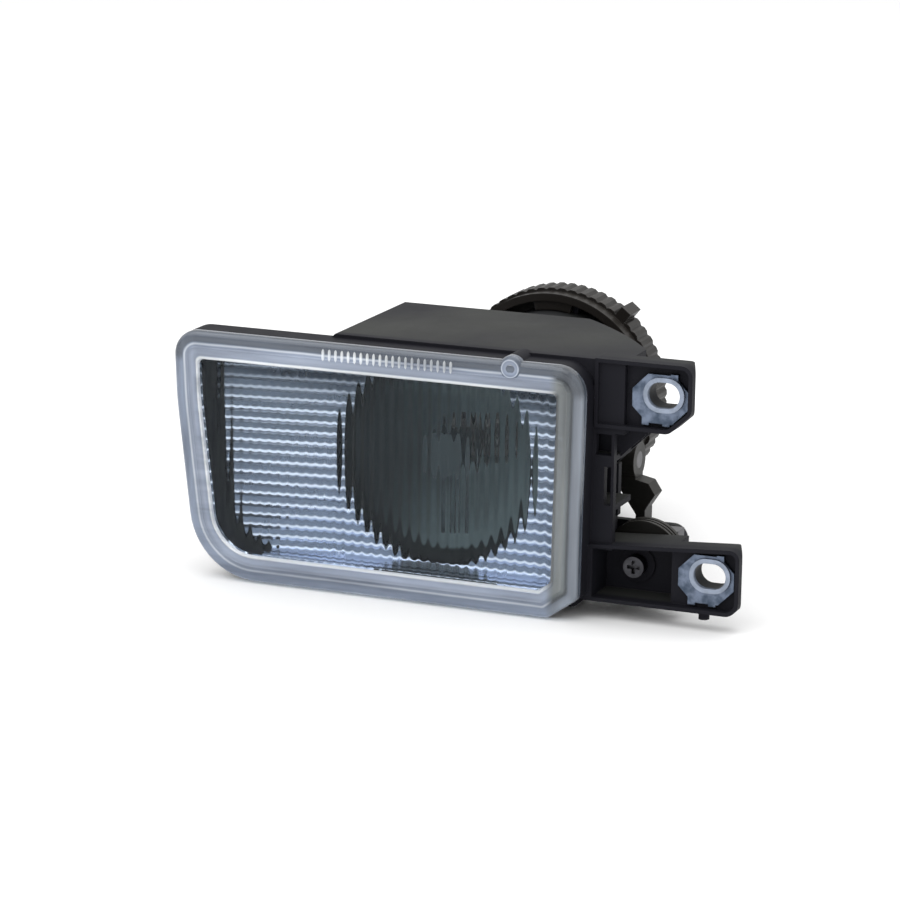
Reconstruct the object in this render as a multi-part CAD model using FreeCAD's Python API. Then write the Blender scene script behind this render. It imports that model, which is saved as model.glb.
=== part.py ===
"""A front fog lamp: moulded housing with two mounting arms, fluted glass, stepped trim, a tilting
reflector with its bulb, an aiming screw with its nut and lever, and a bayonet cap at the back.

Lamp axes while drawing, in millimetres: the optical axis is x = 0, z = 0, and the front of the glass
is y = 0. +X is towards the mounting arms, +Y is towards the back of the lamp and +Z is up.
Every part is moved by ORIGIN_SHIFT as it is written, so that the row's origin is the centre of the
upper slot, on the back face of its ear.
"""
import FreeCAD, Part
import math
import os

V = FreeCAD.Vector
Y = V(0, 1, 0)

# ---- driving dimensions -----------------------------------------------------------------------------
# Glass
GLASS_LEFT, GLASS_RIGHT = -93.0, 62.4      # outline at the top corners
GLASS_TOP, GLASS_BOTTOM = 43.4, -46.2
GLASS_THICK = 3.0                          # face of the glass, without its flutes
GLASS_BAND = 10.0                          # plain border round the fluted window
GLASS_EDGE = 2.0                           # rounding of the outer front edge
SKIRT_THICK, SKIRT_END = 3.0, 10.0         # wall of the glass that goes into the housing
FLANGE_BACK = 3.6                          # back of the glass edge that covers the rim
FLUTE_PITCH, FLUTE_DEPTH = 3.6, 0.5
LUG_X, LUG_R, LUG_RISE = 35.4, 4.4, 1.9    # locating lug on the top edge of the glass
BAND_RIBS, BAND_RIB_PITCH, BAND_RIB_LEFT, BAND_RIB_HEIGHT = 21, 2.4, -35.0, 4.4
SEAL_THICK = 1.5

# Housing
WALL = 2.4
GLUE_GAP = 0.3                             # glass skirt to the sides of its groove
RIM_WALL, RIM_FRONT = 2.2, 4.0             # outer wall of the groove
LIP_WALL, LIP_FRONT = 1.5, 5.0             # inner wall of the groove
DISH_STRAIGHT, DISH_BACK, DISH_TAPER = 22.0, 34.0, 7.0
BOX_LEFT, BOX_RIGHT = -47.0, 56.0
BOX_TOP, BOX_BOTTOM, BOX_BACK = 44.6, -44.0, 75.0
BOX_CHAMFER_X, BOX_CHAMFER_Z = 12.0, 14.0  # the top left corner of the box
SHOULDER_RIGHT, SHOULDER_BOTTOM = 73.0, 19.0
SHOULDER_Y, SHOULDER_REAR_X = 33.0, 37.0   # where the rounded rear corner starts and ends
SHOULDER_BULGE = 2.0
NECK_R, NECK_BACK = 33.0, 146.0
STRIP_THICK = 3.0                          # front flange beside the glass
STRIP_RIGHT = 69.6
STRIP_WINDOWS = ((63.0, 68.6, 11.2, 18.6), (66.2, 68.6, -6.4, 7.2))
RIB_THICK, RIB_BACK = 2.0, 30.0
RIB_HEIGHTS = (9.0, -8.5)
GUSSET_BACK = 33.0
FILL_RIGHT, FILL_BOTTOM = 65.0, -14.6       # wall behind the ribs, above the wheel

# Mounting arms
ARM_FRONT, ARM_WALL = 10.0, 1.4
EAR_FRONT, EAR_BACK = 14.0, 20.0
UPPER_SLOT_X, UPPER_SLOT_Z = 87.0, 34.2
UPPER_ARM_TOP, UPPER_ARM_BOTTOM, UPPER_ARM_RIGHT = 45.2, 21.1, 97.4
LOWER_SLOT_X, LOWER_SLOT_Z = 105.2, -27.2
LOWER_ARM_LEFT, LOWER_ARM_RIGHT, LOWER_ARM_BOTTOM = 55.0, 115.9, -40.5
LOWER_ARM_TOP_LEFT, LOWER_ARM_TOP = -20.8, -16.8
EAR_DRAFT_FRONT, EAR_DRAFT = 13.6, 2.6     # the free end of each ear slopes in behind this plane
POCKET_LEFT, POCKET_RIGHT, POCKET_FLOOR = 63.0, 90.6, 25.5   # deep part, with the aiming screw
POCKET_WALL = 2.5
SLOT_LENGTH, SLOT_WIDTH = 11.5, 9.0
BUSH_WALL, BUSH_T, BUSH_CORNER, BUSH_LIP = 1.6, 1.8, 5.5, 1.2
BUSH_LEFT, BUSH_RIGHT, BUSH_DOWN, BUSH_UP = 11.6, 8.4, 10.2, 6.9   # from the slot's centre
PEG_X, PEG_Y, PEG_R, PEG_LENGTH = 102.4, 15.0, 1.9, 3.0

# Reflector and its pivots
REFLECTOR_R, REFLECTOR_FOCUS, REFLECTOR_WALL = 37.6, 9.4, 1.6
REFLECTOR_FRONT = 26.2
BULB_HOLE_R = 9.6
HOLDER_R, HOLDER_BACK = 15.0, 72.0
TILT_Y = 54.0                              # the reflector swings about this line, along X
PIVOT_R, PIVOT_BOSS_R = 3.0, 5.5
RUNNING = 0.05                             # radial clearance of a running fit
CLEAR = 0.4                                # gap between faces that pass each other
PIVOT_BUSH_WALL = 2.0
LEFT_BOSS_R, LEFT_BOSS_LENGTH = 7.0, 4.0
RIGHT_BOSS_R, RIGHT_BOSS_START, RIGHT_BOSS_END = 9.0, 47.0, 56.4
O_RING_SECTION = 0.96                      # radius

# Trim plate
TRIM_INSET, TRIM_THICK = 9.2, 1.6
TRIM_LEFT_SHIFT = 2.4                      # further in along the slanting left side
TRIM_BRIDGE = 20.0                         # half length of the strip under the hole
TRIM_EDGE_LEFT_Y, TRIM_DEEP_Y, TRIM_EDGE_RIGHT_Y = 13.6, 22.2, 17.6
TRIM_FLAT = 40.0                           # half width of the deep flat part
TRIM_HOLE_R = 38.2
STEP_PITCH, STEP_DEPTH, STEP_HEIGHT = 3.9, 0.9, 1.2

# Aiming screw, wheel, nut and lever
SCREW_X, SCREW_Z = 74.6, -29.8
SCREW_R, SCREW_HEAD_R, SCREW_HEAD_LENGTH = 3.0, 3.8, 4.4
SCREW_END = 67.0
CROSS_W, CROSS_L, CROSS_DEPTH = 1.2, 4.6, 2.0
SCREW_BUSH_R, SCREW_BUSH_FLANGE_R = 5.0, 6.4
WHEEL_R, WHEEL_FRONT, WHEEL_BACK, WHEEL_HUB_R = 14.3, 29.6, 36.0, 6.0
WHEEL_GROOVES, WHEEL_GROOVE_W, WHEEL_GROOVE_DEPTH = (31.0, 33.2), 1.0, 1.6
SUPPORT_FRONT, SUPPORT_THICK, SUPPORT_R = 61.0, 3.0, 5.4
NUT_W, NUT_D, NUT_PIN_R, NUT_PIN_LENGTH = 12.0, 7.0, 2.0, 3.6
HUB_R, HUB_LENGTH = 6.6, 7.6
LEVER_THICK, LEVER_W, LEVER_TAIL = 3.4, 8.0, 5.0
GRUB_R = 1.5
RETAINER_R, RETAINER_BORE, RETAINER_T = 5.0, 2.5, 1.0

# Bulb, shield and spring clip
BULB_FLANGE_R, BULB_FLANGE_T = 11.0, 1.0
BULB_BODY_R, BULB_CUP_BACK = 7.0, 80.0
BULB_GLASS_R, BULB_GLASS_WALL, BULB_GLASS_FRONT, BULB_GLASS_BACK = 5.2, 0.8, 38.0, 65.0
FILAMENT_R, FILAMENT_HALF, SUPPORT_WIRE_R = 0.8, 2.6, 0.35
BLADE_HALF, BLADE_T, BLADE_X, BLADE_BACK = 1.6, 0.8, 2.6, 88.0
PLUG_HALF_W, PLUG_HALF_H, PLUG_FRONT, PLUG_BACK = 5.6, 3.4, 82.0, 91.0
SHIELD_R, SHIELD_FRONT, SHIELD_BACK, SHIELD_WALL = 8.4, 31.0, 42.0, 0.8
SHIELD_LEG_HALF, SHIELD_LEG_Y = 2.5, 39.0
WIRE_R, CLIP_X, CLIP_HINGE_Z, CLIP_TIP_Z = 0.7, 9.0, 15.4, -13.0
CLIP_SCREW_Z, CLIP_SCREW_R, CLIP_HEAD_R, CLIP_HEAD_T = 19.0, 1.5, 3.2, 2.0

# Rear cap
CAP_R, CAP_RING_R, CAP_BORE_R = 41.3, 40.0, 37.0
CAP_RING_FRONT, CAP_GRIP_FRONT, CAP_BACK, CAP_FLOOR = 135.0, 140.5, 152.4, 148.0
CAP_TEETH, CAP_TOOTH = 60, 0.7
CAP_LUG_ANGLES, CAP_LUG_W, CAP_LUG_RISE = (51.0, 17.0, 231.0, 197.0), 4.5, 3.4
HANDLE_HALF_L, HANDLE_HALF_W, HANDLE_BACK = 28.0, 4.0, 160.0
LOCK_ANGLES = (90.0, 210.0, 330.0)
NECK_LUG_ANGLE, CAP_LOCK_ANGLE = 30.0, 24.0
NECK_LUG_R, NECK_LUG_FRONT, NECK_LUG_BACK, LOCK_LUG_T = 36.4, 140.0, 143.0, 3.2

# Connector, vent and leads
SOCKET_X, SOCKET_Z, SOCKET_HALF_W, SOCKET_HALF_H, SOCKET_WALL = -37.5, -34.5, 8.4, 6.6, 1.8
SOCKET_LENGTH, SOCKET_BASE = 20.0, 4.0
PIN_SPACING, PIN_W, PIN_T, PIN_IN, PIN_OUT = 6.0, 2.8, 0.8, 9.0, 15.0
VENT_X, VENT_Z, VENT_R, VENT_BORE, VENT_LENGTH = -39.0, 22.0, 3.2, 1.6, 6.0
VENT_CAP_R, VENT_CAP_LENGTH = 5.0, 9.0
LEAD_R = 1.1

# ---- sizes that follow ------------------------------------------------------------------------------
SKIRT_OUT = -RIM_WALL - GLUE_GAP
SKIRT_IN = SKIRT_OUT - SKIRT_THICK
LIP_OUT = SKIRT_IN - GLUE_GAP
LIP_IN = LIP_OUT - LIP_WALL
GROOVE_FLOOR = SKIRT_END + SEAL_THICK
FLOOR_BACK = GROOVE_FLOOR + WALL
VERTEX_Y = REFLECTOR_FRONT + REFLECTOR_R ** 2 / (4 * REFLECTOR_FOCUS)
SCREW_HEAD_BACK = POCKET_FLOOR - 1.0
LEVER_RIGHT = SCREW_X - NUT_W / 2 - CLEAR
HUB_LEFT = RIGHT_BOSS_END + CLEAR
PIVOT_BUSH_R = PIVOT_R + PIVOT_BUSH_WALL
SOCKET_BACK = BOX_BACK + SOCKET_LENGTH
PIN_FRONT = BOX_BACK - PIN_IN
SEAT_Y = HOLDER_BACK + BULB_FLANGE_T
ORIGIN_SHIFT = V(-UPPER_SLOT_X, -EAR_BACK, -UPPER_SLOT_Z)


# ---- drawing helpers --------------------------------------------------------------------------------
def box(x0, x1, y0, y1, z0, z1):
    return Part.makeBox(x1 - x0, y1 - y0, z1 - z0, V(x0, y0, z0))


def rod(radius, start, end):
    return Part.makeCylinder(radius, (end - start).Length, start, end - start)


def along_y(radius, x, z, y0, y1):
    return rod(radius, V(x, y0, z), V(x, y1, z))


def along_x(radius, y, z, x0, x1):
    return rod(radius, V(x0, y, z), V(x1, y, z))


def ring_y(outer, inner, x, z, y0, y1):
    return along_y(outer, x, z, y0, y1).cut(along_y(inner, x, z, y0, y1))


def ring_x(outer, inner, y, z, x0, x1):
    return along_x(outer, y, z, x0, x1).cut(along_x(inner, y, z, x0, x1))


def fuse(shapes):
    shapes = list(shapes)
    return shapes[0].multiFuse(shapes[1:]).removeSplitter() if len(shapes) > 1 else shapes[0]


def polygon_area(corners):
    pairs = zip(corners, corners[1:] + corners[:1])
    return sum(a[0] * b[1] - b[0] * a[1] for a, b in pairs) / 2


def grow(corners, by):
    """The same outline, moved outwards by that distance. A corner is (x, z, radius)."""
    turn = 1 if polygon_area(corners) > 0 else -1
    grown = []
    for i, (x, z, r) in enumerate(corners):
        before, after = corners[i - 1], corners[(i + 1) % len(corners)]
        a = V(x - before[0], z - before[1], 0).normalize()
        b = V(after[0] - x, after[1] - z, 0).normalize()
        na, nb = V(a.y, -a.x, 0) * turn, V(b.y, -b.x, 0) * turn
        bisector = (na + nb) * (1 / (1 + na.dot(nb)))
        grown.append((x + bisector.x * by, z + bisector.y * by, max(0.3, r + by)))
    return grown


def outline(corners, y):
    """A closed wire in the plane at y: straight runs, and an arc of the stated radius at each corner."""
    starts, ends, mids = [], [], []
    for i, (x, z, r) in enumerate(corners):
        before, after = corners[i - 1], corners[(i + 1) % len(corners)]
        a = V(x - before[0], 0, z - before[1]).normalize()
        b = V(after[0] - x, 0, after[1] - z).normalize()
        turn = a.getAngle(b)
        back = r * math.tan(turn / 2)
        corner = V(x, y, z)
        starts.append(corner - a * back)
        ends.append(corner + b * back)
        mids.append(corner + (b - a).normalize() * (r / math.cos(turn / 2) - r))
    edges = []
    for i in range(len(corners)):
        edges.append(Part.Arc(starts[i], mids[i], ends[i]).toShape())
        edges.append(Part.LineSegment(ends[i], starts[(i + 1) % len(corners)]).toShape())
    return Part.Wire(edges)


def plate(corners, y0, y1):
    return Part.Face(outline(corners, y0)).extrude(V(0, y1 - y0, 0))


def band(corners, outer, inner, y0, y1):
    return plate(grow(corners, outer), y0, y1).cut(plate(grow(corners, inner), y0, y1))


def taper(corners, grow0, y0, grow1, y1):
    return Part.makeLoft([outline(grow(corners, grow0), y0), outline(grow(corners, grow1), y1)], True, True)


def prism_z(points, z0, z1):
    """A solid over a plan outline of (x, y) points. A third value marks the middle of an arc."""
    closed = points + [points[0]]
    edges, i = [], 0
    while i < len(closed) - 1:
        start, following = V(closed[i][0], closed[i][1], z0), V(closed[i + 1][0], closed[i + 1][1], z0)
        if len(closed[i + 1]) == 3:
            end = V(closed[i + 2][0], closed[i + 2][1], z0)
            edges.append(Part.Arc(start, following, end).toShape())
            i += 2
        else:
            edges.append(Part.LineSegment(start, following).toShape())
            i += 1
    return Part.Face(Part.Wire(edges)).extrude(V(0, 0, z1 - z0))


def prism_y(points, y0, y1):
    """A solid over a front outline of (x, z) points."""
    corners = [V(x, y0, z) for x, z in points]
    return Part.Face(Part.makePolygon(corners + [corners[0]])).extrude(V(0, y1 - y0, 0))


def prism_x(points, x0, x1):
    """A solid over a side outline of (y, z) points."""
    corners = [V(x0, y, z) for y, z in points]
    return Part.Face(Part.makePolygon(corners + [corners[0]])).extrude(V(x1 - x0, 0, 0))


def slot_solid(length, width, x, z, y0, y1):
    half, r = (length - width) / 2, width / 2
    middle = box(x - half, x + half, y0, y1, z - r, z + r)
    return fuse([middle, along_y(r, x - half, z, y0, y1), along_y(r, x + half, z, y0, y1)])


def toothed(radius, depth, teeth, x, z, y0, y1):
    """A round grip with an axis along Y and a V groove between every two teeth."""
    points = []
    for i in range(teeth):
        for share, r in ((0.0, radius - depth), (0.3, radius), (0.7, radius)):
            angle = (i + share) * 2 * math.pi / teeth
            points.append((x + r * math.cos(angle), z + r * math.sin(angle)))
    return prism_y(points, y0, y1)


def turned(profile):
    """A solid of revolution about the optical axis, from (radius, y) points."""
    points = [V(r, y, 0) for r, y in profile]
    return Part.Face(Part.makePolygon(points + [points[0]])).revolve(V(0, 0, 0), Y, 360)


def arc_block(r0, r1, y0, y1, middle, width):
    """Part of a ring about the optical axis. Angles are in degrees from +X towards +Z."""
    points = [V(r0, y0, 0), V(r1, y0, 0), V(r1, y1, 0), V(r0, y1, 0)]
    face = Part.Face(Part.makePolygon(points + [points[0]]))
    face.rotate(V(0, 0, 0), Y, -(middle + width / 2))
    return face.revolve(V(0, 0, 0), Y, width)


def wire_path(radius, points):
    """A round wire through the points, with a ball at every bend."""
    pieces = [rod(radius, a, b) for a, b in zip(points, points[1:])]
    return fuse(pieces + [Part.makeSphere(radius, p) for p in points[1:-1]])


def write(name, shape):
    """Writes one sub-part as STEP, in the row's frame."""
    shape = shape.copy()
    shape.translate(ORIGIN_SHIFT)
    os.makedirs("parts", exist_ok=True)
    shape.exportStep("parts/" + name + ".step")
    print(name, "solids", len(shape.Solids), "volume", round(shape.Volume, 1), "valid", shape.isValid())


# ---- shared shapes ----------------------------------------------------------------------------------
def glass_outline():
    """Front outline of the glass, clockwise from the top left: (x, z, corner radius)."""
    return [
        (GLASS_LEFT, GLASS_TOP, 9.0),
        (GLASS_RIGHT, GLASS_TOP, 10.0),
        (GLASS_RIGHT - 1.2, GLASS_BOTTOM + 8.0, 3.0),
        (GLASS_RIGHT - 12.2, GLASS_BOTTOM, 4.0),
        (GLASS_LEFT + 8.6, GLASS_BOTTOM, 26.0),
        (GLASS_LEFT + 1.0, GLASS_TOP - 25.0, 120.0),
    ]


def box_plan(inset, front):
    """Plan of the deep part of the housing, moved in by inset, from the plane at y = front."""
    left, right = BOX_LEFT + inset, SHOULDER_RIGHT - inset
    start = (SHOULDER_REAR_X - inset * 0.4, BOX_BACK - inset)
    end = (right, SHOULDER_Y - inset * 0.4)
    run = V(end[0] - start[0], end[1] - start[1], 0)
    out = V(-run.y, run.x, 0).normalize() * SHOULDER_BULGE
    middle = ((start[0] + end[0]) / 2 + out.x, (start[1] + end[1]) / 2 + out.y, "arc")
    return [(left, front), (left, start[1]), start, middle, end, (right, front)]


def box_body(inset, front):
    """The deep part of the housing: the shoulder over the arms is wider than the rest."""
    top, bottom = BOX_TOP - inset, BOX_BOTTOM + inset
    body = prism_z(box_plan(inset, front), bottom, top)
    body = body.cut(box(BOX_RIGHT - inset, SHOULDER_RIGHT + 1, front - 1, BOX_BACK + 1,
                        bottom - 1, SHOULDER_BOTTOM + inset))
    left = BOX_LEFT + inset
    corner = [(left - 1, top - BOX_CHAMFER_Z), (left, top - BOX_CHAMFER_Z), (left + BOX_CHAMFER_X, top),
              (left + BOX_CHAMFER_X, top + 1), (left - 1, top + 1)]
    return body.cut(prism_y(corner, front - 1, BOX_BACK + 1))


def bowl_points(offset):
    """The reflector's curve from its hole to its mouth, as (radius, y), moved back along the normal."""
    points = []
    for i in range(19):
        r = BULB_HOLE_R + (REFLECTOR_R - BULB_HOLE_R) * i / 18
        y = VERTEX_Y - r * r / (4 * REFLECTOR_FOCUS)
        slope = r / (2 * REFLECTOR_FOCUS)
        length = math.hypot(slope, 1)
        points.append((r + offset * slope / length, y + offset / length))
    return points


def bowl_space():
    """The space inside the reflector."""
    curve = bowl_points(0)
    return turned([(0, REFLECTOR_FRONT - 5), (REFLECTOR_R, REFLECTOR_FRONT - 5)] + curve[::-1]
                  + [(0, curve[0][1])])


def trim_line(shift):
    """Plan line of the trim's front face, moved back by shift."""
    return [(GLASS_LEFT, TRIM_EDGE_LEFT_Y + shift), (-TRIM_FLAT, TRIM_DEEP_Y + shift),
            (TRIM_FLAT, TRIM_DEEP_Y + shift), (GLASS_RIGHT, TRIM_EDGE_RIGHT_Y + shift)]


# ---- glass, seal and trim ---------------------------------------------------------------------------
def flutes():
    """Vertical flutes on the inner side of the window."""
    window = grow(glass_outline(), -GLASS_BAND)
    count = int((GLASS_RIGHT - GLASS_LEFT - 2 * GLASS_BAND) / FLUTE_PITCH) + 1
    left = GLASS_LEFT + GLASS_BAND - 1
    points = [(left, GLASS_THICK - 1), (left, GLASS_THICK)]
    for i in range(count):
        points.append((left + (i + 0.5) * FLUTE_PITCH, GLASS_THICK + FLUTE_DEPTH, "arc"))
        points.append((left + (i + 1) * FLUTE_PITCH, GLASS_THICK))
    points.append((left + count * FLUTE_PITCH, GLASS_THICK - 1))
    comb = prism_z(points, GLASS_BOTTOM, GLASS_TOP)
    return comb.common(plate(window, 0, GLASS_THICK + 2))


def glass_lens():
    shape = glass_outline()
    lug = along_y(LUG_R, LUG_X, GLASS_TOP + LUG_RISE - LUG_R, GLASS_EDGE / 2, FLANGE_BACK)
    pieces = [taper(shape, -GLASS_EDGE, 0, 0, GLASS_EDGE), plate(shape, GLASS_EDGE, FLANGE_BACK), lug]
    pieces.append(plate(grow(shape, SKIRT_OUT), FLANGE_BACK - 1, SKIRT_END))
    for i in range(BAND_RIBS):
        x = BAND_RIB_LEFT + i * BAND_RIB_PITCH
        top = GLASS_TOP - GLASS_EDGE
        pieces.append(box(x, x + BAND_RIB_PITCH / 2, -0.35, 1, top - BAND_RIB_HEIGHT, top))
    body = fuse(pieces).cut(plate(grow(shape, SKIRT_IN), GLASS_THICK, SKIRT_END + 1))
    return fuse([body, flutes()])


def lens_seal():
    return band(glass_outline(), SKIRT_OUT, SKIRT_IN, SKIRT_END, GROOVE_FLOOR)


def trim_solid(shift_front, shift_back, z0, z1):
    return prism_z(trim_line(shift_front) + trim_line(shift_back)[::-1], z0, z1)


def trim_plate():
    sheet = [trim_solid(0, TRIM_THICK, GLASS_BOTTOM, GLASS_TOP)]
    count = int((GLASS_TOP - GLASS_BOTTOM) / STEP_PITCH)
    for i in range(count):
        z = GLASS_BOTTOM + (i + 0.5) * STEP_PITCH
        sheet.append(trim_solid(-STEP_DEPTH, TRIM_THICK / 2, z, z + STEP_HEIGHT))
    edge = plate(grow(glass_outline(), -TRIM_INSET), LIP_FRONT, DISH_BACK)
    body = fuse(sheet).common(edge).common(edge.translated(V(TRIM_LEFT_SHIFT, 0, 0)))
    bridge = box(-TRIM_BRIDGE, TRIM_BRIDGE, TRIM_DEEP_Y, TRIM_DEEP_Y + TRIM_THICK,
                 -TRIM_HOLE_R - 2.4, GLASS_BOTTOM + TRIM_INSET + 1)
    return fuse([body, bridge]).cut(along_y(TRIM_HOLE_R, 0, 0, 0, DISH_BACK))


# ---- housing ----------------------------------------------------------------------------------------
def upper_arm_outline():
    return [
        (GLASS_RIGHT, UPPER_ARM_TOP, 0.3),
        (UPPER_ARM_RIGHT, UPPER_ARM_TOP, 4.0),
        (UPPER_ARM_RIGHT, UPPER_ARM_BOTTOM + 7.4, 4.0),
        (UPPER_ARM_RIGHT - 8.0, UPPER_ARM_BOTTOM, 4.0),
        (GLASS_RIGHT, UPPER_ARM_BOTTOM, 0.3),
    ]


def lower_arm_outline():
    return [
        (LOWER_ARM_LEFT, LOWER_ARM_TOP_LEFT, 0.3),
        (LOWER_ARM_RIGHT, LOWER_ARM_TOP, 3.5),
        (LOWER_ARM_RIGHT, LOWER_ARM_BOTTOM, 5.0),
        (LOWER_ARM_LEFT, LOWER_ARM_BOTTOM, 0.3),
    ]


def ear_draft(right):
    """What is cut off the free end of an ear, so that it slopes in towards its back."""
    wedge = [(right, EAR_DRAFT_FRONT), (right + 1, EAR_DRAFT_FRONT), (right + 1, EAR_BACK + 0.1),
             (right - EAR_DRAFT, EAR_BACK + 0.1)]
    return prism_z(wedge, LOWER_ARM_BOTTOM - 1, UPPER_ARM_TOP + 1)


def upper_arm():
    """A shallow pan open to the front, with the slot in its floor."""
    shape = upper_arm_outline()
    pan = plate(shape, ARM_FRONT, EAR_BACK).cut(ear_draft(UPPER_ARM_RIGHT))
    return pan.cut(plate(grow(shape, -ARM_WALL), ARM_FRONT - 1, EAR_FRONT))


def lower_arm():
    """The same, with a deep pocket for the aiming screw between the slot and the lamp, and a peg."""
    shape = lower_arm_outline()
    recess = plate(grow(shape, -ARM_WALL), ARM_FRONT - 1, POCKET_FLOOR)
    divider = POCKET_RIGHT + ARM_WALL
    deep = plate(shape, ARM_FRONT, POCKET_FLOOR + POCKET_WALL)
    deep = deep.common(box(LOWER_ARM_LEFT, divider, 0, DISH_BACK, LOWER_ARM_BOTTOM, LOWER_ARM_TOP))
    deep = deep.cut(recess.common(box(POCKET_LEFT, POCKET_RIGHT, 0, DISH_BACK, LOWER_ARM_BOTTOM, LOWER_ARM_TOP)))
    ear = plate(shape, ARM_FRONT, EAR_BACK)
    ear = ear.common(box(POCKET_RIGHT, LOWER_ARM_RIGHT, 0, DISH_BACK, LOWER_ARM_BOTTOM, LOWER_ARM_TOP))
    ear = ear.cut(recess.common(box(divider, LOWER_ARM_RIGHT, 0, EAR_FRONT, LOWER_ARM_BOTTOM, LOWER_ARM_TOP)))
    divider_cut = box(POCKET_RIGHT - 1, divider, 0, EAR_FRONT, LOWER_ARM_BOTTOM + ARM_WALL, LOWER_ARM_TOP)
    divider_cut = divider_cut.common(recess)
    peg = rod(PEG_R, V(PEG_X, PEG_Y, LOWER_ARM_BOTTOM + 1), V(PEG_X, PEG_Y, LOWER_ARM_BOTTOM - PEG_LENGTH))
    return fuse([deep, ear, peg]).cut(divider_cut).cut(ear_draft(LOWER_ARM_RIGHT))


def side_parts():
    """Flange beside the glass, ribs and web between the arms, support at the end of the aiming screw."""
    strip = box(GLASS_RIGHT - 2, STRIP_RIGHT, GROOVE_FLOOR, GROOVE_FLOOR + STRIP_THICK,
                LOWER_ARM_TOP_LEFT - ARM_WALL, BOX_TOP)
    for x0, x1, z0, z1 in STRIP_WINDOWS:
        strip = strip.cut(box(x0, x1, GROOVE_FLOOR - 1, GROOVE_FLOOR + STRIP_THICK + 1, z0, z1))
    pieces = [strip]
    for z in RIB_HEIGHTS:
        pieces.append(box(BOX_RIGHT - 1, STRIP_RIGHT, GROOVE_FLOOR, RIB_BACK, z, z + RIB_THICK))
    web = [(BOX_RIGHT - 1, 2), (BOX_RIGHT + 6, 2), (SHOULDER_RIGHT, 13), (SHOULDER_RIGHT + 10, UPPER_ARM_BOTTOM + 1),
           (BOX_RIGHT - 1, UPPER_ARM_BOTTOM + 1)]
    pieces.append(prism_y(web, GUSSET_BACK - 3, GUSSET_BACK))
    pieces.append(box(BOX_RIGHT - 1, FILL_RIGHT, GUSSET_BACK - 3, GUSSET_BACK, FILL_BOTTOM, 4))
    pieces.append(prism_y(web, EAR_BACK - ARM_WALL, EAR_BACK))
    pieces.append(box(BOX_RIGHT - 15, SCREW_X, SUPPORT_FRONT, SUPPORT_FRONT + SUPPORT_THICK,
                      SCREW_Z - SUPPORT_R, SCREW_Z + SUPPORT_R))
    pieces.append(along_y(SUPPORT_R, SCREW_X, SCREW_Z, SUPPORT_FRONT, SUPPORT_FRONT + SUPPORT_THICK))
    return pieces


def trim_posts():
    """Posts and ribs that carry the trim from behind."""
    posts = [along_y(2.2, -66, z, TRIM_EDGE_LEFT_Y, DISH_BACK - 1) for z in (-26, 26)]
    posts.append(box(BOX_RIGHT - 7, BOX_RIGHT - 1, TRIM_EDGE_RIGHT_Y, DISH_BACK, -28, -26))
    posts.append(box(BOX_RIGHT - 8, BOX_RIGHT - 6, TRIM_EDGE_RIGHT_Y, DISH_BACK, 33, BOX_TOP - 1))
    return [post.cut(trim_solid(-10, TRIM_THICK, GLASS_BOTTOM, GLASS_TOP)) for post in posts]


def neck_parts():
    """Neck lugs, vent tube and connector shroud on the back."""
    pieces = [arc_block(NECK_R - 1, NECK_LUG_R, NECK_LUG_FRONT, NECK_LUG_BACK, a, NECK_LUG_ANGLE)
              for a in LOCK_ANGLES]
    pieces.append(along_y(VENT_R, VENT_X, VENT_Z, BOX_BACK - 1, BOX_BACK + VENT_LENGTH))
    shroud = box(SOCKET_X - SOCKET_HALF_W, SOCKET_X + SOCKET_HALF_W, BOX_BACK - 1, SOCKET_BACK,
                 SOCKET_Z - SOCKET_HALF_H, SOCKET_Z + SOCKET_HALF_H)
    well_w, well_h = SOCKET_HALF_W - SOCKET_WALL, SOCKET_HALF_H - SOCKET_WALL
    well = box(SOCKET_X - well_w, SOCKET_X + well_w, BOX_BACK + SOCKET_BASE, SOCKET_BACK + 1,
               SOCKET_Z - well_h, SOCKET_Z + well_h)
    return pieces + [shroud.cut(well)]


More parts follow.
